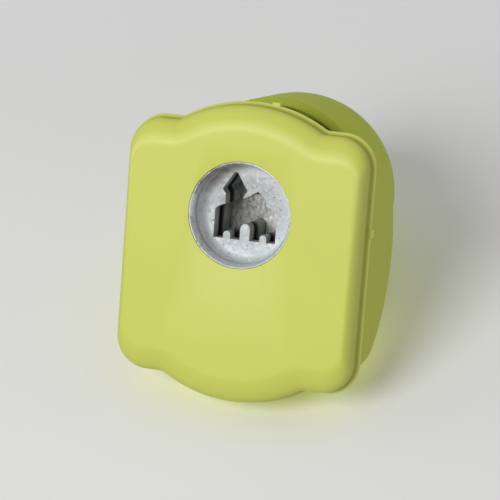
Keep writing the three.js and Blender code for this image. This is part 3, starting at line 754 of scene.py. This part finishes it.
def cast_zinc():
    """Light grey casting, mottled and specked, with grime and painted shadow at the front left of the recess,
    painted light on its wall and painted shade inside the castle opening.
    """
    material, tree, shader = finish_base("cast_zinc", Metallic=0.1, Specular_IOR_Level=0.45)
    place = node(tree, "TexCoord").outputs["Object"]
    aside = vector(tree, "SUBTRACT", place, (0, PUNCH_Y * MM, 0))["Vector"]
    towards = vector(tree, "DOT_PRODUCT", aside, (-0.55, -0.84, 0))["Value"]
    flat = vector(tree, "MULTIPLY", aside, (1, 1, 0))["Vector"]
    around = vector(tree, "LENGTH", flat)["Value"]
    height = axes(tree, place)["Z"]

    # Cast surface, with painted light brightening the wall of the recess, and cooler towards the rear
    mottle = ranged(tree, noise(tree, place, 620.0, 6.0, 0.72), 0.36, 0.66)
    fine = ranged(tree, noise(tree, place, 2300.0, 3.0, 0.6), 0.35, 0.68)
    base = blended(tree, mottle, (0.60, 0.622, 0.625), (0.485, 0.50, 0.50))
    base = blended(tree, times(tree, fine, 0.5), base, (0.40, 0.40, 0.385))
    # Painted light: the wall of the recess is made lighter
    wall = ranged_mm(tree, around, 4.2, 5.8, 0.0, 0.6)
    base = blended(tree, wall, base, (0.84, 0.87, 0.885))
    streaks = ranged(tree, noise(tree, place, 1250.0, 5.0, 0.7), 0.5, 0.72, 0.0, 0.55)
    base = blended(tree, streaks, base, (0.36, 0.36, 0.35))
    cool = ranged_mm(tree, towards, 1.0, -5.5, 0.0, 0.45)
    base = blended(tree, cool, base, (0.50, 0.60, 0.63))

    # Bright and dark specks
    shine = ranged(tree, noise(tree, place, 1900.0, 3.0, 0.6), 0.60, 0.68)
    base = blended(tree, times(tree, shine, 0.75), base, (0.93, 0.94, 0.95))
    specks = ranged(tree, noise(tree, place, 1700.0, 3.0, 0.6), 0.64, 0.69)
    base = blended(tree, times(tree, specks, 0.85), base, (0.10, 0.09, 0.08))

    # Grime and painted shadow towards the front left, and a painted shadow line inside the mouth
    grime_and_shadow = calc(tree, "ADD", 0.45, times(tree, mottle, 0.6))
    grime_and_shadow = times(tree, ranged_mm(tree, towards, 4.8, 6.9), grime_and_shadow)
    base = blended(tree, grime_and_shadow, base, (0.17, 0.125, 0.09))
    # Painted shadow: a dark line low in the mouth, near its wall
    mouth = times(tree, ranged_mm(tree, height, 1.1, 1.4), ranged_mm(tree, height, 2.4, 1.6))
    mouth = times(tree, mouth, ranged_mm(tree, around, 6.1, 6.3, 0.0, 0.6))
    base = blended(tree, mouth, base, (0.20, 0.23, 0.26))

    # Inside of the castle opening, with painted shade that is darkest at the paper gap
    gap = times(tree, ranged_mm(tree, height, 5.6, 6.3), ranged_mm(tree, height, 8.3, 7.6))
    bore = blended(tree, mottle, (0.36, 0.37, 0.35), (0.62, 0.65, 0.60))
    bore = blended(tree, gap, bore, (0.02, 0.02, 0.02))
    within = times(tree, ranged_mm(tree, height, 4.12, 4.3), ranged_mm(tree, around, 6.7, 6.6))
    base = blended(tree, within, base, bore)

    wire(tree, base, shader.inputs["Base Color"])
    grain = placed(tree, GRAIN, Scale=1900.0, Depth=0.00008)
    wire(tree, grain["Normal"], shader.inputs["Normal"])
    wire(tree, calc(tree, "ADD", 0.36, times(tree, mottle, 0.25)), shader.inputs["Roughness"])
    return material


def plain_metal(name, light, dark, rough, stretch, metal=0.9, painted_light_right=0.0):
    """Metal with drawn or ground streaks, with painted light that makes it lighter towards the right."""
    material, tree, shader = finish_base(name, Metallic=metal)
    place = node(tree, "TexCoord").outputs["Object"]
    streak = noise(tree, stretched(tree, place, stretch), 2400.0, 4.0, 0.65)
    streak = ranged(tree, streak, 0.35, 0.68)
    # Painted light: the metal is made lighter towards the right
    side = ranged_mm(tree, axes(tree, place)["X"], -0.5, 3.6, 0.0, painted_light_right)
    base = blended(tree, side, blended(tree, streak, light, dark), (0.92, 0.92, 0.90))
    wire(tree, base, shader.inputs["Base Color"])
    wire(tree, calc(tree, "ADD", rough - 0.08, times(tree, streak, 0.2)), shader.inputs["Roughness"])
    grain = placed(tree, GRAIN, Scale=2600.0, Depth=0.000012)
    wire(tree, grain["Normal"], shader.inputs["Normal"])
    return material


# Painted shade in the tray's groove, at the foot of the shell and at the foot of the apron, and a painted
# highlight on the tray's lip and front edge
OLIVE = (0.38, 0.39, 0.01)
GROOVE = {"band": (2.9, 3.85, 0.12), "shade": OLIVE, "painted_highlight": 0.6}
SEAM = {"band": (4.9, 5.7, 0.12), "shade": OLIVE, "painted_highlight": 0.0}
FOOT = {"band": (12.0, 14.1, 0.6), "shade": (0.33, 0.37, 0.065), "painted_highlight": 0.0}
LIME = lime_plastic("lime_plastic_tray", (0.655, 0.697, 0.136), (0.635, 0.675, 0.126), 0.26, **GROOVE)
# The body's and the cap's lime is the tray's plastic made darker and more saturated: painted shade for sides
# facing away from the lamps
LIME_BODY_SHADED = lime_plastic("lime_plastic_body", (0.635, 0.680, 0.060), (0.615, 0.657, 0.055), 0.06, **SEAM)
LIME_CAP_SHADED = lime_plastic("lime_plastic_cap", (0.585, 0.675, 0.055), (0.565, 0.652, 0.050), 0.06, **FOOT)
ZINC = cast_zinc()
# The blade's last value sets its painted light towards the right
BLADE = plain_metal("blade_steel", (0.60, 0.60, 0.59), (0.20, 0.20, 0.195), 0.5, (1.0, 0.6, 0.4), 0.35, 0.75)
SPRING = plain_metal("spring_steel", (0.62, 0.63, 0.64), (0.45, 0.455, 0.46), 0.28, (1.0, 1.0, 1.0))
SCREW = plain_metal("screw_steel", (0.60, 0.605, 0.61), (0.42, 0.425, 0.43), 0.33, (1.0, 1.0, 0.4))


# Pieces with their bodies

def dress(piece, material, body, slot, *nodes):
    """Gives a finished piece its material and body, and hides the CAD nodes that it stands for; the slot is
    not used.
    """
    piece.data.materials.clear()
    piece.data.materials.append(material)
    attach(piece, body)
    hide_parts(*nodes)


def coat(name, material):
    """Gives a CAD node that shows as it is its material."""
    mesh = frame["nodes"][name].data
    mesh.materials.clear()
    mesh.materials.append(material)


dress(make_tray(), LIME, "frame", "lime_plastic", "base_tray")
dress(make_shell(), LIME_BODY_SHADED, "frame", "lime_plastic", "body_shell")
dress(make_cap(), LIME_CAP_SHADED, "button", "lime_plastic", "button_cap")
dress(finished(make_die()), ZINC, "frame", "zinc_casting", "die_plate")
dress(finished(stand_in("castle_blade", 0.03), 25), BLADE, "button", "blade_steel", "castle_blade")
spring = make_spring()
dress(spring, SPRING, "frame", "spring_steel", "return_spring")
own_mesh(spring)

for name in frame["nodes"]:
    if name in ("throat_spacer", "guide_block", "punch_head"):
        coat(name, ZINC)
    elif "screw" in name or "pin" in name or "washer" in name:
        coat(name, SCREW)


# Camera, floor and light

# Place of the photo's camera in millimetres, and its directions
CAMERA_PLACE = (100.02, -50.48, -310.97)
CAMERA_AHEAD = (-0.29764, 0.14963, 0.94288)
CAMERA_RIGHT = (0.9474, -0.0755, 0.3110)

# The leaning floor touches the rear of the rim and of the button; these are in metres
LEAN = math.radians(31.2)
LEANING_REACH = 0.0217
FLOOR_SIZE = 6
FLOOR_DROP = 0.00002
GATE_SIZE = 3
GATE_DROP = 0.12


def add_camera():
    """The photo's camera, as fitted to the outlines of tray, die and button."""
    data = bpy.data.cameras.new("photo_camera")
    data.lens = 180
    data.sensor_width = 36
    data.clip_start = 0.01
    data.clip_end = 10
    camera = bpy.data.objects.new("photo_camera", data)
    bpy.context.scene.collection.objects.link(camera)
    ahead = Vector(CAMERA_AHEAD).normalized()
    right = Vector(CAMERA_RIGHT)
    right = (right - right.dot(ahead) * ahead).normalized()
    up = right.cross(ahead).normalized()
    turn = Matrix((right, up, -ahead)).transposed().to_4x4()
    camera.matrix_world = Matrix.Translation(Vector(CAMERA_PLACE) * MM) @ turn
    bpy.context.scene.camera = camera


def floor_material(name, behind):
    """Pale floor that fades out far off and shows only its upper side, one of them only behind the gate."""
    sockets = {"Base_Color": (0.92, 0.92, 0.92, 1), "Roughness": 0.9, "Specular_IOR_Level": 0.1}
    material, tree, shader = finish_base(name, **sockets)
    clear = node(tree, "BsdfTransparent")
    mix = node(tree, "MixShader")
    hidden = node(tree, "NewGeometry").outputs["Backfacing"]
    away = vector(tree, "LENGTH", node(tree, "TexCoord").outputs["Object"])["Value"]
    hidden = calc(tree, "MAXIMUM", hidden, ranged(tree, away, 0.08, 0.5))
    if behind:
        depth = node(tree, "LightPath").outputs["Transparent Depth"]
        hidden = calc(tree, "MAXIMUM", hidden, calc(tree, "LESS_THAN", depth, 0.5))
    wire(tree, hidden, mix.inputs[0])
    wire(tree, shader.outputs[0], mix.inputs[1])
    wire(tree, clear.outputs[0], mix.inputs[2])
    wire(tree, mix.outputs[0], tree.nodes["Material Output"].inputs["Surface"])
    return material


def camera_only(piece):
    piece.visible_diffuse = False
    piece.visible_glossy = False
    piece.visible_transmission = False
    piece.visible_shadow = False


def pane(name, size, height, material):
    bpy.ops.object.select_all(action="DESELECT")
    bpy.ops.mesh.primitive_plane_add(size=size, location=(0, 0, height))
    piece = named(name)
    piece.data.materials.append(material)
    return piece


def clear_material():
    material = bpy.data.materials.new("clear_pane")
    material.use_nodes = True
    tree = material.node_tree
    clear = node(tree, "BsdfTransparent")
    wire(tree, clear.outputs[0], tree.nodes["Material Output"].inputs["Surface"])
    return material


def add_stage():
    """The floor that the punch stands on, and the one it lies on in the photo, seen past a clear gate."""
    floor = pane("floor", FLOOR_SIZE, -FLOOR_DROP, floor_material("floor_pale", False))
    leaning = pane("leaning_floor", FLOOR_SIZE, 0, floor_material("leaning_pale", True))
    gate = pane("gate_pane", GATE_SIZE, -GATE_DROP, clear_material())
    normal = Vector((0, math.cos(LEAN), math.sin(LEAN)))
    turn = (-normal).to_track_quat("Z", "Y").to_matrix().to_4x4()
    leaning.matrix_world = Matrix.Translation(normal * LEANING_REACH) @ turn
    for piece in (floor, leaning, gate):
        camera_only(piece)


def add_lamp(name, place, target, size, power, mirrored=True):
    """Soft round lamp; one that isn't mirrored leaves no glare on the edges that it grazes."""
    data = bpy.data.lights.new(name, "AREA")
    data.shape = "DISK"
    data.size = size
    data.energy = power
    lamp = bpy.data.objects.new(name, data)
    bpy.context.scene.collection.objects.link(lamp)
    aim = Vector(target) - Vector(place)
    lamp.matrix_world = Matrix.Translation(Vector(place)) @ aim.to_track_quat("-Z", "Y").to_matrix().to_4x4()
    lamp.visible_glossy = mirrored


def add_world():
    world = bpy.data.worlds.new("soft_room")
    bpy.context.scene.world = world
    world.use_nodes = True
    tree = world.node_tree
    shown = tree.nodes["Background"]
    shown.inputs["Color"].default_value = (0.9, 0.9, 0.9, 1)
    shown.inputs["Strength"].default_value = 1.0
    dim = node(tree, "Background")
    dim.inputs["Color"].default_value = (1, 1, 1, 1)
    dim.inputs["Strength"].default_value = 0.42
    path = node(tree, "LightPath")
    mix = node(tree, "MixShader")
    wire(tree, path.outputs["Is Camera Ray"], mix.inputs[0])
    wire(tree, dim.outputs[0], mix.inputs[1])
    wire(tree, shown.outputs[0], mix.inputs[2])
    wire(tree, mix.outputs[0], tree.nodes["World Output"].inputs["Surface"])


add_camera()
add_stage()
add_world()
add_lamp("key_lamp", (-0.15, -0.10, -0.57), (0, 0, 0.01), 0.3, 1.95)
add_lamp("upper_lamp", (-0.26, 0.30, 0.46), (0, 0, 0.02), 0.35, 2.2, mirrored=False)
bpy.context.scene.view_settings.view_transform = "Standard"
